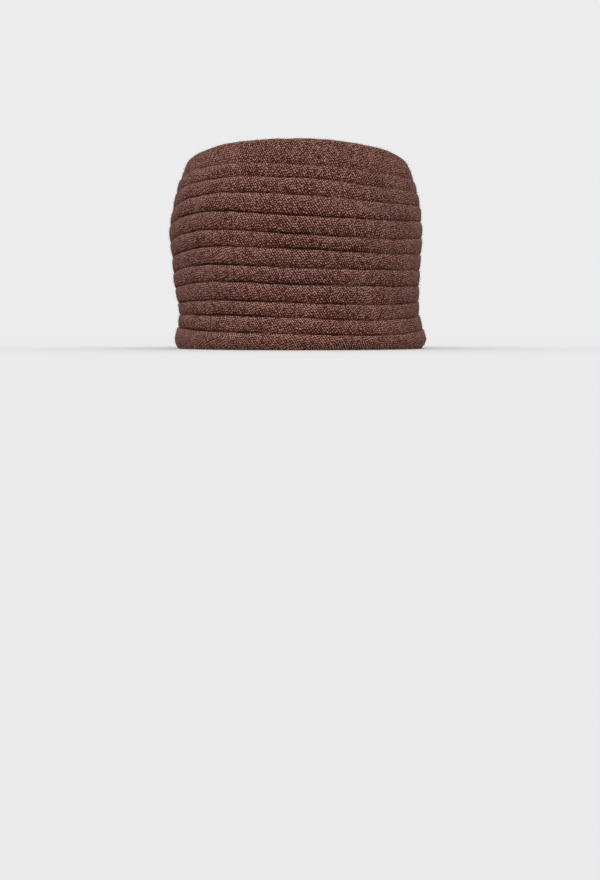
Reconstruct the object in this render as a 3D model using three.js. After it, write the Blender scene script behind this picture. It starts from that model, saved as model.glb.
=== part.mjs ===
// A fez hat of welted wool jersey, in millimetres, with +Z up and its front towards -Y.
// The side is one knitted wall with soft welts all round, a thick turned hem and a rounded
// shoulder. The crown top is a shallow dome seamed into the upper edge of the side.
// The hat stands on its rim, and the origin is on the ground under the middle of it.
import * as THREE from 'three';

// Sizes of the hat over the crests of its welts
const HALF_WIDTH = 85;
const FRONT_REACH = 108;
const BACK_REACH = 102;
const SIDE_HEIGHT = 120;
const TOP_RISE = 2.5;

// Thickness of the cloth, and how far the welts and the hem stand out from it
const WALL = 2.4;
const WELT_RISE = 1.6;
const HEM_SWELL = 1.4;

// The seam between the side and the crown top: its gap, and the slope of the cloth there
const SEAM_GAP = 0.3;
const SEAM_TILT = THREE.MathUtils.degToRad(72);
const FLAT_TILT = THREE.MathUtils.degToRad(90);

// Columns of points round the hat
const AROUND = 56;

const YARN = { color: 0x5d3e35, roughness: 0.95, metalness: 0 };

// The outline of the side, from the rim up to the seam. height is a share of the height of the
// seam, left and right are shares of HALF_WIDTH, front is a share of FRONT_REACH, back is a
// share of BACK_REACH, and tilt is how much of SEAM_TILT the cloth leans in.
const SECTIONS = [
  { height: 0.000, left: 0.965, right: 0.968, front: 0.988, back: 0.988, tilt: 0.00 },
  { height: 0.050, left: 0.980, right: 0.993, front: 1.000, back: 1.000, tilt: 0.00 },
  { height: 0.100, left: 0.964, right: 0.974, front: 0.987, back: 0.987, tilt: 0.00 },
  { height: 0.190, left: 0.946, right: 0.940, front: 0.965, back: 0.965, tilt: 0.00 },
  { height: 0.280, left: 0.962, right: 0.934, front: 0.963, back: 0.967, tilt: 0.00 },
  { height: 0.380, left: 0.983, right: 0.938, front: 0.973, back: 0.980, tilt: 0.00 },
  { height: 0.500, left: 0.996, right: 0.946, front: 0.981, back: 0.988, tilt: 0.00 },
  { height: 0.610, left: 1.012, right: 0.955, front: 0.986, back: 0.992, tilt: 0.00 },
  { height: 0.720, left: 0.994, right: 0.944, front: 0.984, back: 0.988, tilt: 0.05 },
  { height: 0.800, left: 0.968, right: 0.928, front: 0.976, back: 0.977, tilt: 0.12 },
  { height: 0.870, left: 0.938, right: 0.904, front: 0.962, back: 0.961, tilt: 0.20 },
  { height: 0.930, left: 0.903, right: 0.876, front: 0.947, back: 0.945, tilt: 0.28 },
  { height: 0.965, left: 0.882, right: 0.853, front: 0.934, back: 0.932, tilt: 0.42 },
  { height: 0.990, left: 0.858, right: 0.828, front: 0.918, back: 0.915, tilt: 0.76 },
  { height: 1.000, left: 0.822, right: 0.790, front: 0.888, back: 0.885, tilt: 1.00 },
];

// Where the columns of WELT_LINES stand, in degrees from the front towards the right side
const STATIONS = [
  { column: 'back', angle: -180 },
  { column: 'leftSide', angle: -90 },
  { column: 'leftFront', angle: -42 },
  { column: 'front', angle: 0 },
  { column: 'rightFront', angle: 38 },
  { column: 'rightSide', angle: 90 },
  { column: 'back', angle: 180 },
];

// The lines sunk between the welts, which wander a little as they go round: the rim first and
// the seam last. Each height is a share of SIDE_HEIGHT.
const WELT_LINES = [
  { leftSide: 0.000, leftFront: 0.000, front: 0.000, rightFront: 0.000, rightSide: 0.000, back: 0.000 },
  { leftSide: 0.120, leftFront: 0.092, front: 0.077, rightFront: 0.072, rightSide: 0.113, back: 0.095 },
  { leftSide: 0.181, leftFront: 0.172, front: 0.154, rightFront: 0.145, rightSide: 0.189, back: 0.170 },
  { leftSide: 0.246, leftFront: 0.245, front: 0.225, rightFront: 0.221, rightSide: 0.261, back: 0.243 },
  { leftSide: 0.324, leftFront: 0.336, front: 0.312, rightFront: 0.312, rightSide: 0.340, back: 0.327 },
  { leftSide: 0.404, leftFront: 0.421, front: 0.389, rightFront: 0.393, rightSide: 0.424, back: 0.410 },
  { leftSide: 0.487, leftFront: 0.506, front: 0.478, rightFront: 0.472, rightSide: 0.513, back: 0.497 },
  { leftSide: 0.571, leftFront: 0.588, front: 0.548, rightFront: 0.543, rightSide: 0.601, back: 0.580 },
  { leftSide: 0.658, leftFront: 0.676, front: 0.634, rightFront: 0.632, rightSide: 0.689, back: 0.668 },
  { leftSide: 0.738, leftFront: 0.763, front: 0.731, rightFront: 0.718, rightSide: 0.769, back: 0.756 },
  { leftSide: 0.822, leftFront: 0.838, front: 0.812, rightFront: 0.792, rightSide: 0.840, back: 0.830 },
  { leftSide: 0.899, leftFront: 0.905, front: 0.876, rightFront: 0.859, rightSide: 0.903, back: 0.897 },
  { leftSide: 1.003, leftFront: 1.010, front: 1.005, rightFront: 0.999, rightSide: 0.993, back: 1.000 },
];

// The rounding of the hem, of each welt and of the shoulder, from the line below to the line
// above. along is a share of the way up, and rise a share of WELT_RISE.
const HEM_PROFILE = [
  { along: 0.00, rise: 0.00 },
  { along: 0.08, rise: 0.60 },
  { along: 0.26, rise: 0.97 },
  { along: 0.58, rise: 1.00 },
  { along: 0.88, rise: 0.60 },
];
const WELT_PROFILE = [
  { along: 0.00, rise: 0.00 },
  { along: 0.13, rise: 0.60 },
  { along: 0.36, rise: 0.96 },
  { along: 0.64, rise: 0.96 },
  { along: 0.87, rise: 0.60 },
];
const SHOULDER_PROFILE = [
  { along: 0.00, rise: 0.00 },
  { along: 0.10, rise: 0.60 },
  { along: 0.28, rise: 0.96 },
  { along: 0.50, rise: 1.00 },
  { along: 0.70, rise: 0.98 },
  { along: 0.84, rise: 0.92 },
  { along: 0.93, rise: 0.80 },
  { along: 0.98, rise: 0.50 },
];

// The inside of the side, from the seam down to the rim. height is a share of the height of the
// seam, and swell a share of HEM_SWELL, by which the turned hem is thicker than the wall.
const INNER_FACE = [
  { height: 1.00, swell: 0.0 },
  { height: 0.99, swell: 0.0 },
  { height: 0.96, swell: 0.0 },
  { height: 0.91, swell: 0.0 },
  { height: 0.82, swell: 0.0 },
  { height: 0.72, swell: 0.0 },
  { height: 0.61, swell: 0.0 },
  { height: 0.50, swell: 0.0 },
  { height: 0.38, swell: 0.0 },
  { height: 0.28, swell: 0.0 },
  { height: 0.19, swell: 0.0 },
  { height: 0.12, swell: 0.3 },
  { height: 0.08, swell: 0.9 },
  { height: 0.04, swell: 1.0 },
  { height: 0.00, swell: 0.3 },
];

// The crown top from the seam in to the middle. reach is a share of the way out to the seam,
// rise a share of the way up from the seam to the middle, sink a share of WELT_RISE, and flat
// how far the cloth has turned from the slope of the seam to lying flat.
const TOP_SECTIONS = [
  { reach: 1.00, rise: 0.00, sink: 1.00, flat: 0.00 },
  { reach: 0.98, rise: 0.20, sink: 0.45, flat: 0.30 },
  { reach: 0.95, rise: 0.40, sink: 0.10, flat: 0.60 },
  { reach: 0.89, rise: 0.60, sink: 0.00, flat: 0.80 },
  { reach: 0.78, rise: 0.78, sink: 0.00, flat: 0.90 },
  { reach: 0.60, rise: 0.91, sink: 0.00, flat: 1.00 },
  { reach: 0.36, rise: 0.98, sink: 0.00, flat: 1.00 },
];

// A smooth curve through the named columns of a table
function curveThrough(rows, key, columns) {
  const places = rows.map((row) => row[key]);
  const values = rows.flatMap((row) => columns.map((column) => row[column]));
  return new THREE.CubicInterpolant(places, values, columns.length);
}

const sectionCurve = curveThrough(SECTIONS, 'height', ['left', 'right', 'front', 'back', 'tilt']);

// The welt lines sorted by angle, so that one place on the curve gives every line there
const stationRows = STATIONS.map(({ column, angle }) => (
  { angle, ...WELT_LINES.map((line) => line[column]) }
));
const lineCurve = curveThrough(stationRows, 'angle', Object.keys(WELT_LINES));
lineCurve.settings = {
  endingStart: THREE.WrapAroundEnding,
  endingEnd: THREE.WrapAroundEnding,
};

// The angle of each column of points, from the back by the left side, the front and the right
const angles = Array.from({ length: AROUND }, (_, column) => -180 + (360 * column) / AROUND);

// The heights of all the welt lines at one angle, the rim first and the seam last
function lineHeights(angle) {
  return Array.from(lineCurve.evaluate(angle), (share) => share * SIDE_HEIGHT);
}

function seamHeight(angle) {
  return lineHeights(angle).at(-1);
}

// The outline at one angle and height: the point on it, the way out from it, and how far the
// cloth leans in there
function outlineAt(angle, height) {
  const [left, right, front, back, tilt] = sectionCurve.evaluate(height / seamHeight(angle));
  const turn = THREE.MathUtils.degToRad(angle);
  const halfWidth = HALF_WIDTH * (angle > 0 ? right : left);
  const reach = Math.cos(turn) > 0 ? FRONT_REACH * front : BACK_REACH * back;
  const point = new THREE.Vector3(Math.sin(turn) * halfWidth, -Math.cos(turn) * reach, height);
  const out = new THREE.Vector3(Math.sin(turn) * reach, -Math.cos(turn) * halfWidth, 0);
  return { point, out: out.normalize(), tilt: tilt * SEAM_TILT };
}

// The way straight out of cloth that leans in by a tilt
function wayOut(out, tilt) {
  return out.clone().multiplyScalar(Math.cos(tilt)).setZ(Math.sin(tilt));
}

// A row of points round the side, at a height for each angle and a depth inside the outline
function sideRow(heightAt, depth) {
  return angles.map((angle) => {
    const { point, out, tilt } = outlineAt(angle, heightAt(angle));
    return point.addScaledVector(wayOut(out, tilt), -depth);
  });
}

// Rows up the outside of one welt, from the line below it
function weltRows(index, profile) {
  return profile.map(({ along, rise }) => {
    const heightAt = (angle) => {
      const lines = lineHeights(angle);
      return THREE.MathUtils.lerp(lines[index], lines[index + 1], along);
    };
    return sideRow(heightAt, WELT_RISE * (1 - rise));
  });
}

// A closed skin through rows of points, each a full turn or a single pole. It either ends at
// two poles or joins its last row to its first.
function skinThrough(rows) {
  const isPole = (row) => row.length === 1;
  const bandCount = isPole(rows[0]) ? rows.length - 1 : rows.length;
  const starts = rows.map((_, index) => rows.slice(0, index).flat().length);
  const pointOf = (row, column) => starts[row] + (column % rows[row].length);
  const triangles = [];
  for (let band = 0; band < bandCount; band += 1) {
    const above = (band + 1) % rows.length;
    for (let column = 0; column < AROUND; column += 1) {
      if (!isPole(rows[band])) {
        triangles.push(pointOf(band, column), pointOf(band, column + 1), pointOf(above, column + 1));
      }
      if (!isPole(rows[above])) {
        triangles.push(pointOf(band, column), pointOf(above, column + 1), pointOf(above, column));
      }
    }
  }
  const geometry = new THREE.BufferGeometry().setFromPoints(rows.flat());
  geometry.setIndex(triangles);
  geometry.computeVertexNormals();
  return geometry;
}

// The side: up the outside, over the edge at the seam, down the inside and under the rim
function sideGeometry() {
  const profiles = WELT_LINES.slice(1).fill(WELT_PROFILE);
  profiles[0] = HEM_PROFILE;
  profiles[profiles.length - 1] = SHOULDER_PROFILE;
  const outerRows = profiles.flatMap((profile, index) => weltRows(index, profile));
  const seamRow = sideRow(seamHeight, WELT_RISE);
  const innerRows = INNER_FACE.map(({ height, swell }) => {
    const heightAt = (angle) => height * seamHeight(angle);
    return sideRow(heightAt, WELT_RISE + WALL + HEM_SWELL * swell);
  });
  return skinThrough([...outerRows, seamRow, ...innerRows]);
}

// The crown top: out from the middle under the cloth, and back to the middle over it
function topGeometry() {
  const seam = angles.map((angle) => outlineAt(angle, seamHeight(angle)));
  const middle = new THREE.Vector3();
  seam.forEach(({ point }) => middle.addScaledVector(point, 1 / AROUND));
  middle.z = SIDE_HEIGHT + TOP_RISE;

  const ringAt = ({ reach, rise, sink, flat }, thickness) => (
    seam.map(({ point, out, tilt }) => {
      const place = middle.clone().lerp(point, reach);
      place.z = THREE.MathUtils.lerp(point.z, middle.z, rise);
      place.addScaledVector(wayOut(out, tilt + FLAT_TILT), SEAM_GAP * reach);
      const clothTilt = THREE.MathUtils.lerp(tilt, FLAT_TILT, flat);
      return place.addScaledVector(wayOut(out, clothTilt), -(thickness + WELT_RISE * sink));
    })
  );

  const underRings = TOP_SECTIONS.map((section) => ringAt(section, WALL)).reverse();
  const overRings = TOP_SECTIONS.map((section) => ringAt(section, 0));
  const underMiddle = middle.clone().setZ(middle.z - WALL);
  return skinThrough([[underMiddle], ...underRings, ...overRings, [middle]]);
}

function pieceOf(name, geometry) {
  const piece = new THREE.Mesh(geometry, new THREE.MeshStandardMaterial(YARN));
  piece.name = name;
  return piece;
}

const hat = new THREE.Group();
hat.add(pieceOf('crown_side', sideGeometry()));
hat.add(pieceOf('crown_top', topGeometry()));

// The hat is moved over its origin as a whole
const bounds = new THREE.Box3().setFromObject(hat);
const boundsMiddle = bounds.getCenter(new THREE.Vector3());
hat.position.set(-boundsMiddle.x, -boundsMiddle.y, -bounds.min.z);

export default hat;
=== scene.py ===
"""Fez hat of welted wool jersey: its looks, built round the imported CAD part. Units are metres."""

import math

import bpy
import numpy as np
from bpy.props import FloatProperty, FloatVectorProperty, IntProperty, PointerProperty
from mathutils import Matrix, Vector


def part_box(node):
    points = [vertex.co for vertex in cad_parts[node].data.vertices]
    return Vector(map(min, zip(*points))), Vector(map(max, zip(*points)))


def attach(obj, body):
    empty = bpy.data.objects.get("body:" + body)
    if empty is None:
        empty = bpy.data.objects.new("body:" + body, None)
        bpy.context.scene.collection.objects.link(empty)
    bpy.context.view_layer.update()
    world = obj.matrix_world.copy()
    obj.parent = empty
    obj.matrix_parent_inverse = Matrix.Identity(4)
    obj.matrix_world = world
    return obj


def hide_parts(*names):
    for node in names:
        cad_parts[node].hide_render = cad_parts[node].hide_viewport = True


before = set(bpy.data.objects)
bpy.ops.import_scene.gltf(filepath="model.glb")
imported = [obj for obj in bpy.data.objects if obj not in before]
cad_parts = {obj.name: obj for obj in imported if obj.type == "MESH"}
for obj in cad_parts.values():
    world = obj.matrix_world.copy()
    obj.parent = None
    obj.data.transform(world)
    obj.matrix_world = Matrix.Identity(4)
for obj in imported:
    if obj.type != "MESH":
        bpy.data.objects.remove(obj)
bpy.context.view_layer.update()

bl_info = {
    "name": "Fez hat",
    "version": (1, 0, 0),
    "blender": (4, 5, 0),
    "location": "View3D > Sidebar > Fez hat",
    "description": "Builds a soft fez hat of welted wool jersey",
    "category": "Add Mesh",
}

BODY = "root"

# The outline of the side over the crests of its welts, from the rim up to the seam. Columns:
# height as a share of the seam's height, left and right as shares of the half width, front and
# back as shares of their reaches, and how far the cloth leans in as a share of the seam's tilt.
SECTIONS = np.array([
    (0.000, 0.965, 0.968, 0.988, 0.988, 0.00),
    (0.050, 0.980, 0.993, 1.000, 1.000, 0.00),
    (0.100, 0.964, 0.974, 0.987, 0.987, 0.00),
    (0.190, 0.946, 0.940, 0.965, 0.965, 0.00),
    (0.280, 0.962, 0.934, 0.963, 0.967, 0.00),
    (0.380, 0.983, 0.938, 0.973, 0.980, 0.00),
    (0.500, 0.996, 0.946, 0.981, 0.988, 0.00),
    (0.610, 1.012, 0.955, 0.986, 0.992, 0.00),
    (0.720, 0.994, 0.944, 0.984, 0.988, 0.05),
    (0.800, 0.968, 0.928, 0.976, 0.977, 0.12),
    (0.870, 0.938, 0.904, 0.962, 0.961, 0.20),
    (0.930, 0.903, 0.876, 0.947, 0.945, 0.28),
    (0.965, 0.882, 0.853, 0.934, 0.932, 0.42),
    (0.990, 0.858, 0.828, 0.918, 0.915, 0.76),
    (1.000, 0.822, 0.790, 0.888, 0.885, 1.00),
])

# The lines between the welts, as shares of the side's height: the rim first, the seam last.
# Columns: back, left side, left of the front, front, right of the front, right side, back.
STATION_ANGLES = np.array([-180.0, -90.0, -42.0, 0.0, 38.0, 90.0, 180.0])
WELT_LINES = np.array([
    (0.000, 0.000, 0.000, 0.000, 0.000, 0.000, 0.000),
    (0.095, 0.120, 0.092, 0.077, 0.072, 0.113, 0.095),
    (0.170, 0.181, 0.172, 0.154, 0.145, 0.189, 0.170),
    (0.243, 0.246, 0.245, 0.225, 0.221, 0.261, 0.243),
    (0.327, 0.324, 0.336, 0.312, 0.312, 0.340, 0.327),
    (0.410, 0.404, 0.421, 0.389, 0.393, 0.424, 0.410),
    (0.497, 0.487, 0.506, 0.478, 0.472, 0.513, 0.497),
    (0.580, 0.571, 0.588, 0.548, 0.543, 0.601, 0.580),
    (0.668, 0.658, 0.676, 0.634, 0.632, 0.689, 0.668),
    (0.756, 0.738, 0.763, 0.731, 0.718, 0.769, 0.756),
    (0.830, 0.822, 0.838, 0.812, 0.792, 0.840, 0.830),
    (0.897, 0.899, 0.905, 0.876, 0.859, 0.903, 0.897),
    (1.000, 1.003, 1.010, 1.005, 0.999, 0.993, 1.000),
])

# How deep the lines between the welts are, and how strong their painted shade and the painted light
# and shade on the welts are, at each of the STATION_ANGLES, and how much of that is left in the
# line at the top
CREASE_STRENGTH = (0.70, 0.50, 1.0, 0.95, 0.60, 0.35, 0.70)
TOP_CREASE_STRENGTH = 0.45

# The welts hang over the lines below them: how far above a line they hang most, and how broadly
HANG_PLACE = 0.0016
HANG_BREADTH = 0.0013

# The welts wander up and down from this height, and fully from the second
SWAY_FROM = 0.004
SWAY_FULL = 0.020

# The painted light and shade of a welt: how far the painted shade of a line reaches up and down
# from it, how far under the next line the welt is painted lightest and how broadly, and how far up
# its foot is painted in shade
DARK_UP = 0.0012
DARK_DOWN = 0.00045
LIGHT_PLACE = 0.0014
LIGHT_BREADTH = 0.0018
SHADE_UP = 0.0030

# How thick the turned hem is, by height, as shares of the seam's height and of the hem's swell
HEM_HEIGHTS = (0.00, 0.04, 0.08, 0.12, 0.19)
HEM_SHARES = (0.3, 1.0, 0.9, 0.3, 0.0)

# Where the two rows of stitches lie: the height of the row that holds the hem, as a share of
# the seam's height, how far it stands off the cloth, and how deep the row in the seam lies, as
# a share of the rise of the welts
HEM_STITCH_HEIGHT = 0.155
HEM_STITCH_LIFT = 0.0001
SEAM_STITCH_DEPTH = 0.9

# The crown top from its middle out to the seam. Columns: reach as a share of the way out, rise
# as a share of the way up to the middle, how far it sinks into the seam, and how flat it lies.
TOP_SECTIONS = np.array([
    (0.00, 1.00, 0.00, 1.00),
    (0.36, 0.98, 0.00, 1.00),
    (0.60, 0.91, 0.00, 1.00),
    (0.78, 0.78, 0.00, 0.90),
    (0.89, 0.60, 0.00, 0.80),
    (0.95, 0.40, 0.10, 0.60),
    (0.98, 0.20, 0.45, 0.30),
    (1.00, 0.00, 1.00, 0.00),
])

# Rows of points up each welt, as shares of the way from the line below to the line above
HEM_ROWS = (0.0, .02, .045, .08, .125, .18, .25, .33, .42, .51, .60, .68, .76, .83, .89, .94, .975)
WELT_ROWS = (0.0, .03, .07, .125, .20, .30, .42, .56, .69, .79, .865, .92, .965)
SHOULDER_ROWS = (
    0.0, .02, .045, .08, .125, .18, .24, .31, .38, .45, .52, .58, .64, .69, .74, .78, .82,
    .855, .885, .91, .93, .95, .965, .978, .988, .995,
)

# Rows of points down the inside, as shares of the seam's height
INNER_ROWS = np.concatenate([
    (1.0, .995, .985, .97, .95), np.linspace(.92, .2, 14), np.linspace(.17, 0, 12),
])

# Rows of points on the crown top, as shares of the way from its middle out to the seam
TOP_ROWS = np.array([
    .03, .08, .14, .21, .29, .37, .45, .53, .60, .67, .73, .78, .83, .87, .90, .925, .945, .96,
    .972, .982, .99, .996, 1.0,
])

# How far the knitted stitches shift sideways with each course, as a share of a stitch
WALE_LEAN = 0.6

# The lowest place of the loose fibres, so that none lies under the rim
FUZZ_FROM = 0.003

# The stage: the floor's half length, the level of the light from low down and from above, the
# lamp's strength, the angle that it fills and the way it leans, and the camera's place, lens
# and how far it looks down. Angles are in degrees.
FLOOR_REACH = 40.0
LOW_LIGHT = 0.8388
HIGH_LIGHT = 1.55
LAMP_STRENGTH = 0.95
LAMP_ANGLE = 50
LAMP_LEAN = (50, 0, -10)
CAMERA_PLACE = (0.0011, -0.690, 0.008)
CAMERA_LENS = 41.77
CAMERA_DOWN = 5.80


class HatSizes(bpy.types.PropertyGroup):
    """The sizes of the hat."""

    half_width: FloatProperty(
        name="Half width", description="Half the width of the hat over its welts",
        default=0.085, unit="LENGTH")
    front_reach: FloatProperty(
        name="Front reach", description="From the middle of the hat to its front",
        default=0.108, unit="LENGTH")
    back_reach: FloatProperty(
        name="Back reach", description="From the middle of the hat to its back",
        default=0.102, unit="LENGTH")
    side_height: FloatProperty(
        name="Side height", description="From the rim up to the seam of the crown top",
        default=0.120, unit="LENGTH")
    top_rise: FloatProperty(
        name="Top rise", description="How far the crown top domes up over its seam",
        default=0.0025, unit="LENGTH")
    wall: FloatProperty(
        name="Wall", description="Thickness of the cloth under the welts",
        default=0.0024, unit="LENGTH")
    welt_rise: FloatProperty(
        name="Welt rise", description="How far the welts stand out from the lines between them",
        default=0.0016, unit="LENGTH")
    welt_rounding: FloatProperty(
        name="Welt rounding", description="Width of the rounded edge of a welt",
        default=0.0045, unit="LENGTH")
    hem_swell: FloatProperty(
        name="Hem swell", description="How much thicker the turned hem is than the wall",
        default=0.0014, unit="LENGTH")
    seam_lap: FloatProperty(
        name="Seam lap", description="How far the crown top goes into the side at their seam",
        default=0.0004, unit="LENGTH")
    seam_tilt: FloatProperty(
        name="Seam tilt", description="How far the cloth leans in at the seam",
        default=math.radians(72), subtype="ANGLE")
    stitch_width: FloatProperty(
        name="Stitch width", description="Width of one knitted stitch",
        default=0.00147, unit="LENGTH")
    course_height: FloatProperty(
        name="Course height", description="Height of one row of knitted stitches",
        default=0.0013, unit="LENGTH")
    shift: FloatVectorProperty(
        name="Shift", description="How far the hat moves so that it stands over its origin",
        default=(0.0, 0.0, 0.0), unit="LENGTH", size=3)
    columns: IntProperty(
        name="Columns", description="Columns of mesh points round the hat", default=384)


class HatColours(bpy.types.PropertyGroup):
    """The colours of the wool."""

    # Deep is also the painted shade between the strands of the jersey and in the lines between its
    # welts
    deep: FloatVectorProperty(
        name="Deep", description="Colour between the stitches",
        default=(0.029, 0.0048, 0.0022), subtype="COLOR", size=3)
    yarn: FloatVectorProperty(
        name="Yarn", description="Main colour of the yarn",
        default=(0.152, 0.0515, 0.0355), subtype="COLOR", size=3)
    light: FloatVectorProperty(
        name="Light fibres", description="Colour of the light fibres in the yarn",
        default=(0.385, 0.222, 0.183), subtype="COLOR", size=3)
    red: FloatVectorProperty(
        name="Red fibres", description="Colour of the redder patches of the yarn",
        default=(0.169, 0.0455, 0.0330), subtype="COLOR", size=3)
    green: FloatVectorProperty(
        name="Green fibres", description="Colour of the greener patches of the yarn",
        default=(0.127, 0.0570, 0.0345), subtype="COLOR", size=3)
    floor: FloatVectorProperty(
        name="Floor", description="Colour of the floor",
        default=(0.573, 0.573, 0.573), subtype="COLOR", size=3)


class Socket:
    """One output of a node, on which Python's operators add Math nodes."""

    def __init__(self, tree, output):
        self.tree = tree
        self.output = output

    def math(self, operation, *others, **settings):
        return self.tree.node("ShaderNodeMath", {"operation": operation, **settings}, self, *others)

    def __add__(self, other):
        return self.math("ADD", other)

    def __sub__(self, other):
        return self.math("SUBTRACT", other)

    def __mul__(self, other):
        return self.math("MULTIPLY", other)

    def __truediv__(self, other):
        return self.math("DIVIDE", other)

    def __pow__(self, other):
        return self.math("POWER", other)

    def __gt__(self, other):
        return self.math("GREATER_THAN", other)

    def __rsub__(self, other):
        return self.tree.node("ShaderNodeMath", {"operation": "SUBTRACT"}, other, self)

    def __rtruediv__(self, other):
        return self.tree.node("ShaderNodeMath", {"operation": "DIVIDE"}, other, self)

    def __neg__(self):
        return self * -1

    def __abs__(self):
        return self.math("ABSOLUTE")

    __radd__ = __add__
    __rmul__ = __mul__

    def floor(self):
        return self.math("FLOOR")

    def least(self, other):
        return self.math("MINIMUM", other)

    def most(self, other):
        return self.math("MAXIMUM", other)

    def exp(self):
        return self.math("EXPONENT")

    def between(self, low, high):
        """From 0 at low to 1 at high, smoothly."""
        settings = {"interpolation_type": "SMOOTHSTEP"}
        return self.tree.node("ShaderNodeMapRange", settings, self, low, high, 0.0, 1.0)

    def part(self, name):
        """The X, Y or Z of a vector."""
        return self.tree.node("ShaderNodeSeparateXYZ", {}, self, out=name)


class Tree:
    """A node tree and the one way in which this file adds nodes to it."""

    def __init__(self, tree):
        self.tree = tree

    def node(self, kind, settings=None, *values, out=None, **named):
        """Adds a node, sets it up, feeds its sockets in order or by name, and gives an output."""
        made = self.tree.nodes.new(kind)
        for key, setting in (settings or {}).items():
            setattr(made, key, setting)
        shown = [socket for socket in made.inputs if socket.enabled]
        for socket, value in zip(shown, values):
            self.feed(socket, value)
        for name, value in named.items():
            wanted = name.replace("_", " ")
            self.feed(next(s for s in shown if s.name == wanted), value)
        outputs = [socket for socket in made.outputs if socket.enabled]
        chosen = next((s for s in outputs if s.name == out), outputs[0] if outputs else None)
        return Socket(self, chosen)

    def feed(self, socket, value):
        if isinstance(value, Socket):
            self.tree.links.new(value.output, socket)
        elif value is not None:
            socket.default_value = value

    def vector(self, x, y, z=0.0):
        return self.node("ShaderNodeCombineXYZ", {}, x, y, z)

    def scaled(self, vector, by):
        """A vector times a number or a vector."""
        if isinstance(by, (tuple, list)):
            return self.node("ShaderNodeVectorMath", {"operation": "MULTIPLY"}, vector, by)
        return self.node("ShaderNodeVectorMath", {"operation": "SCALE"}, vector, Scale=by)

    def noise(self, at, scale, detail=2.0, roughness=0.5):
        """Smooth noise about 0.5."""
        return self.node(
            "ShaderNodeTexNoise", {}, Vector=at, Scale=scale, Detail=detail, Roughness=roughness)

    def chance(self, at):
        """A fixed random number from 0 to 1 for each whole-numbered place."""
        return self.node("ShaderNodeTexWhiteNoise", {}, Vector=at, out="Value")

    def mixed(self, share, first, second):
        """Two colours mixed by a share."""
        return self.node("ShaderNodeMix", {"data_type": "RGBA"}, Factor=share, A=first, B=second)

    def ends_in(self, kind, last, name):
        """Feeds the last socket to an input of the tree's output node."""
        result = self.tree.nodes.new(kind)
        self.feed(result.inputs[name], last)


def material_tree(name):
    """A new material and its empty tree."""
    material = bpy.data.materials.new(name)
    material.use_nodes = True
    material.node_tree.nodes.clear()
    return material, Tree(material.node_tree)


def geometry_tree(name, numbers, seed="Float"):
    """A new Geometry Nodes tree with named inputs and a seed, and the sockets of those inputs."""
    group = bpy.data.node_groups.new(name, "GeometryNodeTree")
    made = group.interface
    made.new_socket("Geometry", in_out="INPUT", socket_type="NodeSocketGeometry")
    made.new_socket("Geometry", in_out="OUTPUT", socket_type="NodeSocketGeometry")
    for number in numbers:
        made.new_socket(number, in_out="INPUT", socket_type="NodeSocketFloat")
    made.new_socket("Seed", in_out="INPUT", socket_type=f"NodeSocket{seed}")
    tree = Tree(group)
    given = group.nodes.new("NodeGroupInput")
    return tree, {socket.name: Socket(tree, socket) for socket in given.outputs if socket.name}


def closed_tree(tree, geometry, material):
    """Ends a Geometry Nodes tree in real geometry of one material, and gives its group."""
    real = tree.node("GeometryNodeRealizeInstances", {}, geometry)
    finished = tree.node("GeometryNodeSetMaterial", {}, Geometry=real, Material=material)
    tree.ends_in("NodeGroupOutput", finished, "Geometry")
    return tree.tree


def colour(value):
    return (*value, 1.0)


def smooth(places, values, at, turn=0.0):
    """The smooth curve through rows of values, at each place. With a turn it joins its ends."""
    if turn:
        knots = np.concatenate([[places[-2] - turn], places, [places[1] + turn]])
        rows = np.vstack([values[-2], values, values[1]])
    else:
        knots = np.concatenate([[places[1]], places, [places[-2]]])
        rows = np.vstack([values[1], values, values[-2]])
    at = np.clip(at, places[0], places[-1])
    low = np.clip(np.searchsorted(places, at, side="right"), 1, len(places) - 1)
    start, end = knots[low], knots[low + 1]
    share = ((at - start) / (end - start))[:, None]
    half = (end - start) / 2
    before = (half / (start - knots[low - 1]))[:, None]
    after = (half / (knots[low + 2] - end))[:, None]
    square, cube = share ** 2, share ** 3
    return (
        before * (2 * square - cube - share) * rows[low - 1]
        + ((1 + before) * cube - (1.5 + 2 * before) * square + (before - 0.5) * share + 1)
        * rows[low]
        + ((1.5 + after) * square - (1 + after) * cube + 0.5 * share) * rows[low + 1]
        + after * (cube - square) * rows[low + 2]
    )


class Outline:
    """The hat's outline, in columns of points round it."""

    def __init__(self, sizes):
        self.sizes = sizes
        count = sizes.columns
        self.angles = -180.0 + 360.0 * np.arange(count) / count
        lines = smooth(STATION_ANGLES, WELT_LINES.T, self.angles, turn=360.0)
        self.lines = lines.T * sizes.side_height
        self.seam = self.lines[-1]

    def row(self, heights):
        """A row of points at the given heights, the way out from each, and how each leans in."""
        sizes = self.sizes
        values = smooth(SECTIONS[:, 0], SECTIONS[:, 1:], heights / self.seam)
        left, right, front, back, tilt = values.T
        turn = np.radians(self.angles)
        width = sizes.half_width * np.where(self.angles > 0, right, left)
        reach = np.where(
            np.cos(turn) > 0, sizes.front_reach * front, sizes.back_reach * back)
        points = np.stack([np.sin(turn) * width, -np.cos(turn) * reach, heights], 1)
        out = np.stack([np.sin(turn) * reach, -np.cos(turn) * width], 1)
        out /= np.linalg.norm(out, axis=1)[:, None]
        return points, out, tilt * sizes.seam_tilt

    def sunk(self, heights, depth):
        """A row of points at the given heights and depth inside the outline."""
        points, out, tilt = self.row(heights)
        return points - way_out(out, tilt) * np.reshape(depth, (-1, 1))


def way_out(out, tilt):
    """The way straight out of cloth that leans in by a tilt."""
    return np.column_stack([out * np.cos(tilt)[:, None], np.sin(tilt)])


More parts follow.
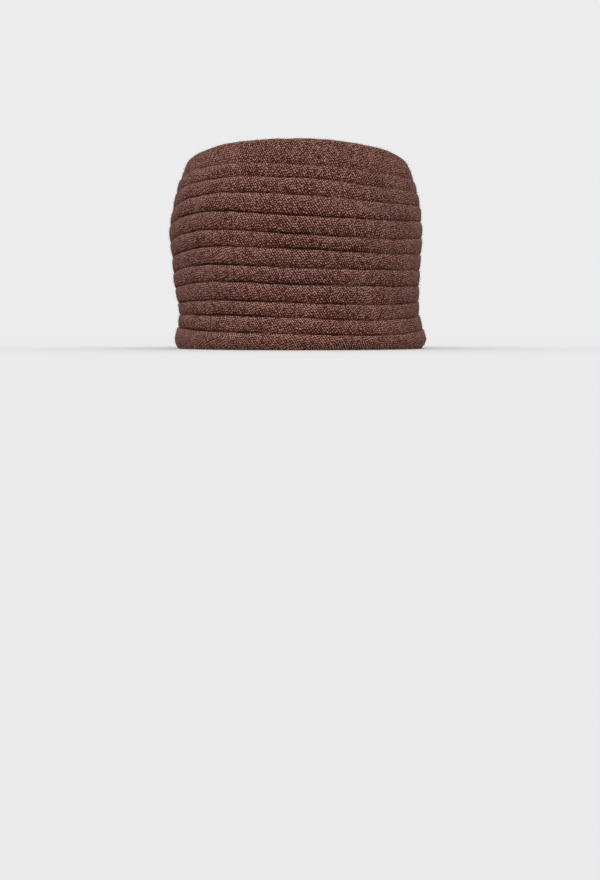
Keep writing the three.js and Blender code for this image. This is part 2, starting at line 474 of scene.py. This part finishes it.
def skin(name, rows, knit, closed_by=None):
    """A mesh through rows of points round the hat, with a UV map that follows the knitting.

    The last row joins the first unless closed_by gives a first and last pole. knit holds one
    more row than the mesh has bands, and one more column than it has points in a row."""
    count = len(rows[0])
    points = np.concatenate(rows)
    last = len(rows) - 1
    faces, corners = [], []
    for band in range(len(rows) if closed_by is None else last):
        above = (band + 1) % len(rows)
        here = np.arange(count)
        there = (here + 1) % count
        faces.append(np.stack([
            band * count + here, band * count + there, above * count + there, above * count + here,
        ], 1))
        corners.append(np.stack([
            knit[band, here], knit[band, here + 1], knit[band + 1, here + 1], knit[band + 1, here],
        ], 1))
    faces = np.concatenate(faces).tolist()
    corners = np.concatenate(corners).reshape(-1, 2).tolist()
    if closed_by is not None:
        points = np.vstack([points, [pole for pole, _ in closed_by]])
        for end, (_, pole_knit) in enumerate(closed_by):
            pole, row = len(points) - 2 + end, (0, last)[end]
            for here in range(count):
                pair = [row * count + here, row * count + (here + 1) % count]
                ends = [knit[row, here].tolist(), knit[row, here + 1].tolist()]
                if end == 0:
                    pair.reverse()
                    ends.reverse()
                faces.append([*pair, pole])
                corners.extend([*ends, list(pole_knit)])
    mesh = bpy.data.meshes.new(name)
    mesh.from_pydata(points.tolist(), [], faces)
    mesh.uv_layers.new(name="knit")
    mesh.uv_layers["knit"].uv.foreach_set("vector", np.ravel(corners))
    mesh.shade_smooth()
    return mesh


def stored(mesh, name, values):
    """Keeps a number or a vector for each point of a mesh."""
    values = np.asarray(values, float)
    kind = "FLOAT_VECTOR" if values.ndim == 2 else "FLOAT"
    attribute = mesh.attributes.new(name, kind, "POINT")
    attribute.data.foreach_set("vector" if values.ndim == 2 else "value", values.ravel())


def shown(name, mesh):
    """An object of a mesh, linked to the scene."""
    piece = bpy.data.objects.new(name, mesh)
    bpy.context.scene.collection.objects.link(piece)
    return piece


def carried(piece, *nodes):
    """The piece rides with the hat and stands for CAD nodes."""
    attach(piece, BODY)
    if nodes:
        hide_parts(*nodes)
    return piece


def side_rows(sizes):
    """The side's points in rows, from the rim up the outside and back down the inside.

    For each row outside come the way out, the distances to the line below and the line above,
    the height in courses of knitting, and the number of its welt."""
    outline = Outline(sizes)
    rows, outs, below, above, courses, welts = [], [], [], [], [], []
    knitted = 0
    last = len(WELT_LINES) - 2
    for index in range(last + 1):
        shares = {0: HEM_ROWS, last: SHOULDER_ROWS}.get(index, WELT_ROWS)
        low, high = outline.lines[index], outline.lines[index + 1]
        points = [outline.row(low + (high - low) * share) for share in (*shares, 1.0)]
        steps = [np.linalg.norm(b[0] - a[0], axis=1) for a, b in zip(points, points[1:])]
        way = np.vstack([np.zeros(sizes.columns), np.cumsum(steps, axis=0)])
        for place, (row, out, tilt) in enumerate(points[:-1]):
            rows.append(row)
            outs.append(way_out(out, tilt))
            below.append(way[place])
            above.append(way[-1] - way[place])
            courses.append(knitted + way[place] / sizes.course_height)
            welts.append(index)
        knitted += math.ceil(way[-1].max() / sizes.course_height)
    seam, out, tilt = outline.row(outline.seam)
    rows.append(seam)
    outs.append(way_out(out, tilt))
    below.append(np.full(sizes.columns, 1.0))
    above.append(np.zeros(sizes.columns))
    courses.append(np.full(sizes.columns, float(knitted)))
    welts.append(last)
    for share in INNER_ROWS:
        swell = np.interp(share, HEM_HEIGHTS, HEM_SHARES)
        depth = sizes.welt_rise + sizes.wall + sizes.hem_swell * swell
        rows.append(outline.sunk(share * outline.seam, depth))
    return rows, outs, np.array(below), np.array(above), np.array(courses), np.array(welts)


def side_knitting(sizes, rows, courses):
    """Where each row of the side lies in the knitting, in stitches round and courses up."""
    outer = len(courses)
    middle = rows[outer // 2]
    steps = np.linalg.norm(np.roll(middle, -1, axis=0) - middle, axis=1)
    around = np.append(0.0, np.cumsum(steps))
    stitches = around / around[-1] * round(around[-1] / sizes.stitch_width)
    up = list(courses)
    for before, after in zip(rows[outer - 1:], [*rows[outer:], rows[0]]):
        up.append(up[-1] + np.linalg.norm(after - before, axis=1) / sizes.course_height)
    up = np.column_stack([np.array(up), np.array(up)[:, 0]])
    return np.dstack([np.broadcast_to(stitches, up.shape), up])


def raised_welts(material):
    """Geometry Nodes that raise the welts out of the smooth side."""
    tree, take = geometry_tree("raised_welts", (
        "Rise", "Rounding", "Crease depth", "Crease width", "Overhang", "Unevenness", "Sway"))
    place = tree.node("GeometryNodeInputPosition")

    def kept(name, kind="FLOAT"):
        return tree.node("GeometryNodeInputNamedAttribute", {"data_type": kind}, name)

    def wander(stretch, seed, scale, detail=1.0):
        """Smooth noise about 0.5, narrower along the axes that are stretched."""
        return tree.node(
            "ShaderNodeTexNoise", {"noise_dimensions": "4D"}, Vector=tree.scaled(place, stretch),
            W=take["Seed"] + seed, Scale=scale, Detail=detail)

    below, above = kept("below"), kept("above")
    relief = kept("relief")
    under = (1 - (below / (take["Rounding"] * 1.3)).least(1.0)) ** 2.4 * 1.2
    over = (1 - (above / (take["Rounding"] * 0.6)).least(1.0)) ** 3 * 0.8
    short = under.most(over)
    fade = wander((1.0, 1.0, 3.0), 9.0, 24.0).between(0.34, 0.60) * 0.6 + 0.45
    fade = fade * kept("strength")
    crease = (-(below / (take["Crease width"] * 1.5)) ** 2).exp().most(
        (-(above / (take["Crease width"] * 0.8)) ** 2).exp())
    sink = take["Rise"] * short * (fade * 0.55 + 0.45) + take["Crease depth"] * crease * fade

    broad = wander((1.0, 1.0, 2.2), 0.0, 28.0)
    fine = wander((1.0, 1.0, 1.5), 5.0, 160.0, detail=2.0)
    uneven = take["Unevenness"] * ((broad - 0.5) * 1.6 + (fine - 0.5) * 0.45)
    moved = tree.scaled(kept("way_out", "FLOAT_VECTOR"), (uneven - sink) * relief)

    wave = wander((1.0, 1.0, 1.0), 13.0, 64.0)
    lifted = (wave - 0.5) * take["Sway"] * place.part("Z").between(SWAY_FROM, SWAY_FULL)
    hang = take["Overhang"] * (-(((below - HANG_PLACE) / HANG_BREADTH) ** 2)).exp()
    dropped = tree.vector(0.0, 0.0, (lifted - hang * (below > 0.0) * kept("hangs")) * relief)

    offset = tree.node("ShaderNodeVectorMath", {"operation": "ADD"}, moved, dropped)
    raised = tree.node("GeometryNodeSetPosition", {}, Geometry=take["Geometry"], Offset=offset)
    # Keeps the painted shade of the lines as the attribute crease, fainter where the lines are
    # shallow
    faded = tree.node(
        "GeometryNodeStoreNamedAttribute", {"data_type": "FLOAT", "domain": "POINT"},
        Geometry=raised, Name="crease", Value=kept("crease") * (fade * 0.85 + 0.15))
    return closed_tree(tree, faded, material)


def made_by_nodes(name, mesh, group, inputs):
    """A plain mesh object, made by running Geometry Nodes with the given inputs on a mesh."""
    piece = shown(name, mesh)
    modifier = piece.modifiers.new(group.name, "NODES")
    modifier.node_group = group
    for item in group.interface.items_tree:
        if item.in_out == "INPUT" and item.name in inputs:
            modifier[item.identifier] = inputs[item.name]
    depsgraph = bpy.context.evaluated_depsgraph_get()
    result = bpy.data.meshes.new_from_object(
        piece.evaluated_get(depsgraph), preserve_all_data_layers=True, depsgraph=depsgraph)
    piece.modifiers.clear()
    piece.data = result
    result.name = name
    return piece


def jersey(name, colours):
    """Brown melange wool jersey, lightly felted, whose stitches follow the UV map."""
    material, tree = material_tree(name)
    place = tree.node("ShaderNodeTexCoord", out="Object")
    knit = tree.node("ShaderNodeUVMap", {"uv_map": "knit"})

    # The stitch that a place lies in. The stitches lean and drift a little from their grid.
    drift = tree.noise(place, 420.0, detail=1.0)
    sway = tree.noise(tree.scaled(place, (1.0, 1.3, 0.8)), 350.0, detail=1.0)
    stray = tree.noise(place, 90.0, detail=1.0)
    v = knit.part("Y") + (sway - 0.5) * 0.5
    u = knit.part("X") + v * WALE_LEAN + (drift - 0.5) * 0.6 + (stray - 0.5) * 2.0
    wale = u.floor()
    across = u - wale
    started = v + tree.chance(tree.vector(wale, 7.0))
    course = started.floor()
    along = started - course
    chance = tree.chance(tree.vector(wale, course))
    rare = tree.chance(tree.vector(course, wale, 3.0))

    # The rounded strand of yarn in each stitch
    round_leg = 1 - abs(across * 2 - 1) ** 1.8
    round_end = 1 - abs(along * 2 - 1) ** 3.0
    strand = (round_leg * round_end).most(0.0)

    # The unevenness of the wool, from single fibres to broad patches
    fibre = tree.noise(place, 1000.0, detail=1.0, roughness=0.6)
    patch = tree.noise(place, 46.0, detail=1.0, roughness=0.5)
    tint = tree.noise(tree.scaled(place, (1.0, 0.9, 1.1)), 150.0, detail=1.0)

    # The painted shade of the lines between the welts, and the painted light and shade on each welt
    crease = tree.node("ShaderNodeAttribute", {"attribute_name": "crease"}, out="Fac")
    roll = tree.node("ShaderNodeAttribute", {"attribute_name": "roll"}, out="Fac")

    # The melange of the yarn, its stitches drawn with painted shade between the strands, flecked
    # with light fibres, and lighter and darker with the painted light and shade of the welts
    reddened = patch.between(0.42, 0.68) * 0.45
    base = tree.mixed(reddened, colour(colours.yarn), colour(colours.red))
    base = tree.mixed(tint.between(0.45, 0.70) * 0.50, base, colour(colours.green))
    tone = (
        strand * (0.72 + chance * 0.22) + (fibre - 0.5) * 1.05 + (patch - 0.5) * 0.20 + roll * 0.22
    )
    shade = tree.mixed(tone.between(0.10, 0.82), colour(colours.deep), base)
    fleck = (tone + rare * 0.30 + fibre * 0.5 - 0.10).between(0.62, 1.30)
    flecked = tree.mixed(fleck * 0.86, shade, colour(colours.light))

    # The painted shade of the lines between the welts, frayed where fibres cross it
    knots = (fibre - 0.5) * 1.05 + (drift - 0.5) * 1.4 - strand * 0.45
    painted_crease_shade = (crease * 1.5 + knots).between(0.20, 0.95)
    sunk = tree.mixed(painted_crease_shade, flecked, colour(colours.deep))
    height = strand * 0.8 + fibre * 0.5
    bump = tree.node("ShaderNodeBump", {}, Strength=0.8, Distance=0.0004, Height=height)
    cloth = tree.node(
        "ShaderNodeBsdfPrincipled", {}, Base_Color=sunk, Roughness=0.92, Normal=bump,
        Specular_IOR_Level=0.04, Sheen_Weight=0.02, Sheen_Roughness=0.45,
        Sheen_Tint=(0.80, 0.50, 0.42, 1.0))
    tree.ends_in("ShaderNodeOutputMaterial", cloth, "Surface")
    return material


def wool_fuzz(name, colours):
    """Loose wool fibres, some lighter than others."""
    material, tree = material_tree(name)
    place = tree.node("ShaderNodeTexCoord", out="Object")
    light = tree.noise(place, 300.0, detail=1.0).between(0.45, 0.62)
    shade = tree.mixed(light * 0.35, colour(colours.yarn), colour(colours.light))
    shade = tree.mixed(0.35, shade, colour(colours.deep))
    fibre = tree.node(
        "ShaderNodeBsdfPrincipled", {}, Base_Color=shade, Roughness=0.85,
        Specular_IOR_Level=0.2)
    tree.ends_in("ShaderNodeOutputMaterial", fibre, "Surface")
    return material


def loose_fibres(material):
    """Geometry Nodes that set short bent wool fibres on the outside of the cloth.

    Facing is -1 for the front half, 1 for the back half and 0 for both."""
    tree, take = geometry_tree(
        "loose_fibres", ("Density", "Length", "Thickness", "Facing"), seed="Int")
    place = tree.node("GeometryNodeInputPosition")
    outside = tree.node("GeometryNodeInputNamedAttribute", {"data_type": "FLOAT"}, "relief") > 0.5
    facing = take["Facing"]
    on_this_half = (place.part("Y") * facing) > -0.5 * (1 - abs(facing))
    chosen = outside * (place.part("Z") > FUZZ_FROM) * on_this_half
    spread = tree.node(
        "GeometryNodeDistributePointsOnFaces", {}, Mesh=take["Geometry"], Selection=chosen,
        Density=take["Density"], Seed=take["Seed"], out="Points")
    upright = Socket(tree, spread.output.node.outputs["Rotation"])
    curve = tree.node(
        "GeometryNodeCurveQuadraticBezier", {}, Resolution=2, Start=(0.0, 0.0, -0.12),
        Middle=(0.10, 0.05, 0.45), End=(0.62, -0.12, 0.62))
    taper = tree.node("GeometryNodeSplineParameter", out="Factor")
    thinned = tree.node(
        "GeometryNodeSetCurveRadius", {}, Curve=curve, Radius=1.0 - taper * 0.6)
    ring = tree.node(
        "GeometryNodeCurvePrimitiveCircle", {}, Resolution=3,
        Radius=take["Thickness"] / take["Length"])
    fibre = tree.node(
        "GeometryNodeCurveToMesh", {}, Curve=thinned, Profile_Curve=ring, Fill_Caps=True)
    turn = tree.node(
        "FunctionNodeRandomValue", {"data_type": "FLOAT_VECTOR"}, Min=(-1.1, -1.1, -math.pi),
        Max=(1.1, 1.1, math.pi), Seed=take["Seed"] + 1)
    turned = tree.node(
        "FunctionNodeRotateRotation", {"rotation_space": "LOCAL"}, upright,
        tree.node("FunctionNodeEulerToRotation", {}, turn))
    size = tree.node(
        "FunctionNodeRandomValue", {"data_type": "FLOAT"}, Min=0.5, Max=1.3,
        Seed=take["Seed"] + 2)
    grown = tree.node(
        "GeometryNodeInstanceOnPoints", {}, Points=spread, Instance=fibre, Rotation=turned,
        Scale=size * take["Length"])
    return closed_tree(tree, grown, material)


def row_of_stitches(material):
    """Geometry Nodes that sew a row of slanting stitches along a line of edges."""
    tree, take = geometry_tree("row_of_stitches", ("Spacing", "Length", "Slant", "Yarn"))
    line = tree.node("GeometryNodeMeshToCurve", {}, take["Geometry"])
    even = tree.node(
        "GeometryNodeResampleCurve", {"mode": "LENGTH"}, Curve=line, Length=take["Spacing"])
    outward = tree.node(
        "GeometryNodeInputNamedAttribute", {"data_type": "FLOAT_VECTOR"}, "way_out")
    along = tree.node(
        "FunctionNodeAlignRotationToVector", {"axis": "X"},
        Vector=tree.node("GeometryNodeInputTangent"))
    upright = tree.node(
        "FunctionNodeAlignRotationToVector", {"axis": "Z", "pivot_axis": "X"},
        Rotation=along, Vector=outward)
    half = take["Length"] * 0.5
    side = take["Slant"] * 0.5
    stitch = tree.node(
        "GeometryNodeCurveQuadraticBezier", {}, Resolution=5,
        Start=tree.vector(-half, -side, -take["Yarn"] * 1.6),
        Middle=tree.vector(0.0, 0.0, take["Yarn"] * 1.8),
        End=tree.vector(half, side, -take["Yarn"] * 1.6))
    ring = tree.node(
        "GeometryNodeCurvePrimitiveCircle", {}, Resolution=6, Radius=take["Yarn"])
    yarn_piece = tree.node(
        "GeometryNodeCurveToMesh", {}, Curve=stitch, Profile_Curve=ring, Fill_Caps=True)
    size = tree.node(
        "FunctionNodeRandomValue", {"data_type": "FLOAT"}, Min=0.88, Max=1.12,
        Seed=take["Seed"])
    sewn = tree.node(
        "GeometryNodeInstanceOnPoints", {}, Points=even, Instance=yarn_piece,
        Rotation=upright, Scale=size)
    return closed_tree(tree, sewn, material)


def sewing_line(name, points, outs, sizes):
    """A closed line of edges for a row of stitches."""
    count = len(points)
    mesh = bpy.data.meshes.new(name)
    mesh.from_pydata(points.tolist(), [(at, (at + 1) % count) for at in range(count)], [])
    stored(mesh, "way_out", outs)
    placed(mesh, sizes)
    return mesh


def seam_yarn(name, colours):
    """The sewing yarn, a plain twist of the same wool."""
    material, tree = material_tree(name)
    place = tree.node("ShaderNodeTexCoord", out="Object")
    fibre = tree.noise(place, 1800.0, detail=2.0)
    shade = tree.mixed(fibre.between(0.35, 0.65), colour(colours.deep), colour(colours.yarn))
    bump = tree.node("ShaderNodeBump", {}, Strength=0.7, Distance=0.0002, Height=fibre)
    yarn = tree.node(
        "ShaderNodeBsdfPrincipled", {}, Base_Color=shade, Roughness=0.9, Normal=bump,
        Specular_IOR_Level=0.18)
    tree.ends_in("ShaderNodeOutputMaterial", yarn, "Surface")
    return material


def placed(mesh, sizes):
    """Moves a mesh by as much as the CAD part was moved over its origin."""
    mesh.vertices.foreach_set("co", (points_of(mesh) + np.array(sizes.shift)).ravel())


def points_of(mesh):
    points = np.empty(len(mesh.vertices) * 3)
    mesh.vertices.foreach_get("co", points)
    return points.reshape(-1, 3)


def cad_shift(sizes):
    """How far the built outline has to move so that it stands in the CAD part's box."""
    outline = Outline(sizes)
    low, high = np.full(3, 1e9), np.full(3, -1e9)
    for share in SECTIONS[:, 0]:
        points = outline.row(share * outline.seam)[0]
        low, high = np.minimum(low, points.min(0)), np.maximum(high, points.max(0))
    box_low, box_high = (np.array(corner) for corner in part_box("crown_side"))
    middle = (box_low + box_high) / 2 - (low + high) / 2
    return np.array([middle[0], middle[1], 0.0])


class HAT_OT_side(bpy.types.Operator):
    """Builds the welted side with its turned hem and rounded shoulder."""

    bl_idname = "fez_hat.side"
    bl_label = "Side"

    def execute(self, context):
        sizes, colours = context.scene.hat_sizes, context.scene.hat_colours
        rows, outs, below, above, courses, welts = side_rows(sizes)
        knit = side_knitting(sizes, rows, courses)
        mesh = skin("crown_side_jersey", rows, knit)
        count = len(mesh.vertices)
        plain = count - below.size
        stored(mesh, "below", np.append(below, np.ones(plain)))
        last = welts[-1]
        # The top welt rounds over half as far as the others do before it meets the seam
        sharper = np.where(welts == last, 2.0, 1.0)[:, None]
        stored(mesh, "above", np.append(above * sharper, np.ones(plain)))
        stored(mesh, "relief", np.append(np.ones(below.size), np.zeros(plain)))
        hangs = np.repeat(welts > 0, sizes.columns)
        stored(mesh, "hangs", np.append(hangs, np.zeros(plain)))
        stored(mesh, "way_out", np.vstack([np.concatenate(outs), np.zeros((plain, 3))]))
        # Painted shade in each line between the welts, reaching further up over the foot of the
        # welt above it than down
        edges = np.where(hangs.reshape(below.shape), below, 1.0)
        ends = np.where(welts[:, None] < last, above, 1.0)
        crease = np.maximum(
            np.exp(-(edges / DARK_UP) ** 2), np.exp(-(ends / DARK_DOWN) ** 2))
        # A painted highlight band on each welt under the line above it, less painted shade rising
        # from its foot, kept as the attribute roll
        lit = 0.5 * np.exp(-((ends - LIGHT_PLACE) / LIGHT_BREADTH) ** 2)
        roll = lit - np.exp(-edges / SHADE_UP)
        strength = np.interp(Outline(sizes).angles, STATION_ANGLES, CREASE_STRENGTH)
        upper = np.interp(welts, [0, last - 3, last], [1.0, 1.0, TOP_CREASE_STRENGTH])
        strength = strength[None, :] * upper[:, None]
        stored(mesh, "roll", np.append(roll * strength, np.zeros(plain)))
        stored(mesh, "strength", np.append(strength, np.ones(plain)))
        stored(mesh, "crease", np.append(crease, np.zeros(plain)))
        placed(mesh, sizes)
        group = raised_welts(jersey("melange_jersey", colours))
        side = made_by_nodes("crown_side_jersey", mesh, group, {
            "Rise": 0.0011,
            "Rounding": sizes.welt_rounding,
            "Crease depth": 0.0005,
            "Crease width": 0.0007,
            "Overhang": 0.0003,
            "Unevenness": 0.0006,
            "Sway": 0.0015,
            "Seed": 3.0,
        })
        for spare in ("below", "above", "hangs", "strength", "way_out"):
            side.data.attributes.remove(side.data.attributes[spare])
        carried(side, "crown_side")
        return {"FINISHED"}


class HAT_OT_top(bpy.types.Operator):
    """Builds the crown top, a shallow dome of two layers of points with closed middles."""

    bl_idname = "fez_hat.top"
    bl_label = "Crown top"

    def execute(self, context):
        sizes = context.scene.hat_sizes
        outline = Outline(sizes)
        seam, out, tilt = outline.row(outline.seam)
        middle = seam.mean(0)
        middle[2] = sizes.side_height + sizes.top_rise
        columns = smooth(TOP_SECTIONS[:, 0], TOP_SECTIONS[:, 1:], TOP_ROWS)

        def ring(reach, rise, sink, flat, thickness):
            points = middle + (seam - middle) * reach
            points[:, 2] = seam[:, 2] + (middle[2] - seam[:, 2]) * rise
            points -= way_out(out, tilt + math.pi / 2) * sizes.seam_lap * reach
            leaning = tilt + (math.pi / 2 - tilt) * flat
            return points - way_out(out, leaning) * (thickness + sizes.welt_rise * sink)

        over = [ring(reach, *row, 0.0) for reach, row in zip(TOP_ROWS, columns)]
        under = [ring(reach, *row, sizes.wall) for reach, row in zip(TOP_ROWS, columns)]
        rows = [*under, *over[::-1]]
        under_middle = middle - np.array([0.0, 0.0, sizes.wall])
        knit = np.array([np.vstack([row, row[:1]])[:, :2] for row in rows])
        scale = np.array([1 / sizes.stitch_width, 1 / sizes.course_height])
        poles = [(pole, pole[:2] * scale) for pole in (under_middle, middle)]
        mesh = skin("crown_top_jersey", rows, knit * scale, closed_by=poles)
        placed(mesh, sizes)
        mesh.materials.append(bpy.data.materials["melange_jersey"])
        count = len(mesh.vertices)
        outside = np.arange(count) >= (count - 2) // 2
        outside[-2] = False
        stored(mesh, "relief", outside)
        stored(mesh, "crease", np.zeros(count))
        stored(mesh, "roll", np.zeros(count))
        carried(shown("crown_top_jersey", mesh), "crown_top")
        return {"FINISHED"}


class HAT_OT_stitches(bpy.types.Operator):
    """Sews the seam of the crown top, and the turned hem to the inside of the side."""

    bl_idname = "fez_hat.stitches"
    bl_label = "Stitches"

    def execute(self, context):
        sizes, colours = context.scene.hat_sizes, context.scene.hat_colours
        outline = Outline(sizes)
        group = row_of_stitches(seam_yarn("sewing_wool", colours))
        seam, out, tilt = outline.row(outline.seam)
        outs = way_out(out, tilt)
        line = seam - outs * sizes.welt_rise * SEAM_STITCH_DEPTH
        mesh = sewing_line("crown_seam_stitches", line, outs, sizes)
        carried(made_by_nodes("crown_seam_stitches", mesh, group, {
            "Spacing": 0.0026, "Length": 0.0021, "Slant": 0.0016, "Yarn": 0.00028, "Seed": 5.0,
        }))

        height = outline.seam * HEM_STITCH_HEIGHT
        swell = np.interp(HEM_STITCH_HEIGHT, HEM_HEIGHTS, HEM_SHARES)
        depth = sizes.welt_rise + sizes.wall + sizes.hem_swell * swell
        line = outline.sunk(height, depth + HEM_STITCH_LIFT)
        inside = -way_out(outline.row(height)[1], np.zeros(sizes.columns))
        mesh = sewing_line("hem_stitches", line, inside, sizes)
        carried(made_by_nodes("hem_stitches", mesh, group, {
            "Spacing": 0.0055, "Length": 0.0030, "Slant": 0.0018, "Yarn": 0.00025, "Seed": 5.0,
        }))
        return {"FINISHED"}


class HAT_OT_fuzz(bpy.types.Operator):
    """Grows the short loose fibres that stand out from the wool."""

    bl_idname = "fez_hat.fuzz"
    bl_label = "Fuzz"

    def execute(self, context):
        group = loose_fibres(wool_fuzz("loose_wool", context.scene.hat_colours))
        sizes = {"Density": 250000.0, "Length": 0.0012, "Thickness": 0.000032}
        patches = (
            ("side_fuzz_front", "crown_side_jersey", -1.0, 11),
            ("side_fuzz_back", "crown_side_jersey", 1.0, 23),
            ("top_fuzz", "crown_top_jersey", 0.0, 37),
        )
        for name, cloth, facing, seed in patches:
            mesh = bpy.data.objects[cloth].data.copy()
            inputs = {**sizes, "Facing": facing, "Seed": seed}
            carried(made_by_nodes(name, mesh, group, inputs))
        return {"FINISHED"}


class HAT_OT_stage(bpy.types.Operator):
    """Sets the floor, the soft light and the camera."""

    bl_idname = "fez_hat.stage"
    bl_label = "Stage"

    def execute(self, context):
        colours = context.scene.hat_colours
        mesh = bpy.data.meshes.new("floor")
        corners = [(-1, -1), (1, -1), (1, 1), (-1, 1)]
        points = [(x * FLOOR_REACH, y * FLOOR_REACH, 0.0) for x, y in corners]
        mesh.from_pydata(points, [], [(0, 1, 2, 3)])
        floor = shown("floor", mesh)
        material = bpy.data.materials.new("plain_floor")
        material.use_nodes = True
        plain = material.node_tree.nodes["Principled BSDF"]
        plain.inputs["Base Color"].default_value = colour(colours.floor)
        plain.inputs["Roughness"].default_value = 1.0
        plain.inputs["Specular IOR Level"].default_value = 0.0
        mesh.materials.append(material)

        world = bpy.data.worlds.new("soft_light")
        context.scene.world = world
        world.use_nodes = True
        world.node_tree.nodes.clear()
        tree = Tree(world.node_tree)
        way = tree.node("ShaderNodeTexCoord", out="Generated")
        up = way.part("Z").between(0.30, 0.95)
        sky = tree.mixed(up, colour([LOW_LIGHT] * 3), colour([HIGH_LIGHT] * 3))
        lit = tree.node("ShaderNodeBackground", {}, Color=sky, Strength=1.0)
        tree.ends_in("ShaderNodeOutputWorld", lit, "Surface")

        lamp = bpy.data.lights.new("key", "SUN")
        lamp.energy = LAMP_STRENGTH
        lamp.angle = math.radians(LAMP_ANGLE)
        key = bpy.data.objects.new("key", lamp)
        key.rotation_euler = [math.radians(angle) for angle in LAMP_LEAN]
        context.scene.collection.objects.link(key)

        camera = bpy.data.cameras.new("camera")
        camera.sensor_width = 36.0
        camera.lens = CAMERA_LENS
        camera.clip_start = 0.002
        eye = bpy.data.objects.new("camera", camera)
        eye.location = CAMERA_PLACE
        eye.rotation_euler = (math.radians(90 - CAMERA_DOWN), 0.0, 0.0)
        context.scene.collection.objects.link(eye)
        context.scene.camera = eye
        context.scene.view_settings.view_transform = "Standard"
        return {"FINISHED"}


class HAT_PT_panel(bpy.types.Panel):
    """Lists the pieces of the hat in the sidebar."""

    bl_idname = "HAT_PT_panel"
    bl_label = "Fez hat"
    bl_space_type = "VIEW_3D"
    bl_region_type = "UI"
    bl_category = "Fez hat"

    def draw(self, context):
        for operator in OPERATORS:
            self.layout.operator(operator.bl_idname)


OPERATORS = (HAT_OT_side, HAT_OT_top, HAT_OT_stitches, HAT_OT_fuzz, HAT_OT_stage)
CLASSES = (HatSizes, HatColours, *OPERATORS, HAT_PT_panel)


def register():
    for made in CLASSES:
        bpy.utils.register_class(made)
    bpy.types.Scene.hat_sizes = PointerProperty(type=HatSizes)
    bpy.types.Scene.hat_colours = PointerProperty(type=HatColours)


def unregister():
    del bpy.types.Scene.hat_colours
    del bpy.types.Scene.hat_sizes
    for made in reversed(CLASSES):
        bpy.utils.unregister_class(made)


def main():
    register()
    sizes = bpy.context.scene.hat_sizes
    sizes.shift = cad_shift(sizes)
    bpy.ops.fez_hat.side()
    bpy.ops.fez_hat.top()
    bpy.ops.fez_hat.stitches()
    bpy.ops.fez_hat.fuzz()
    bpy.ops.fez_hat.stage()


if __name__ == "__main__":
    main()
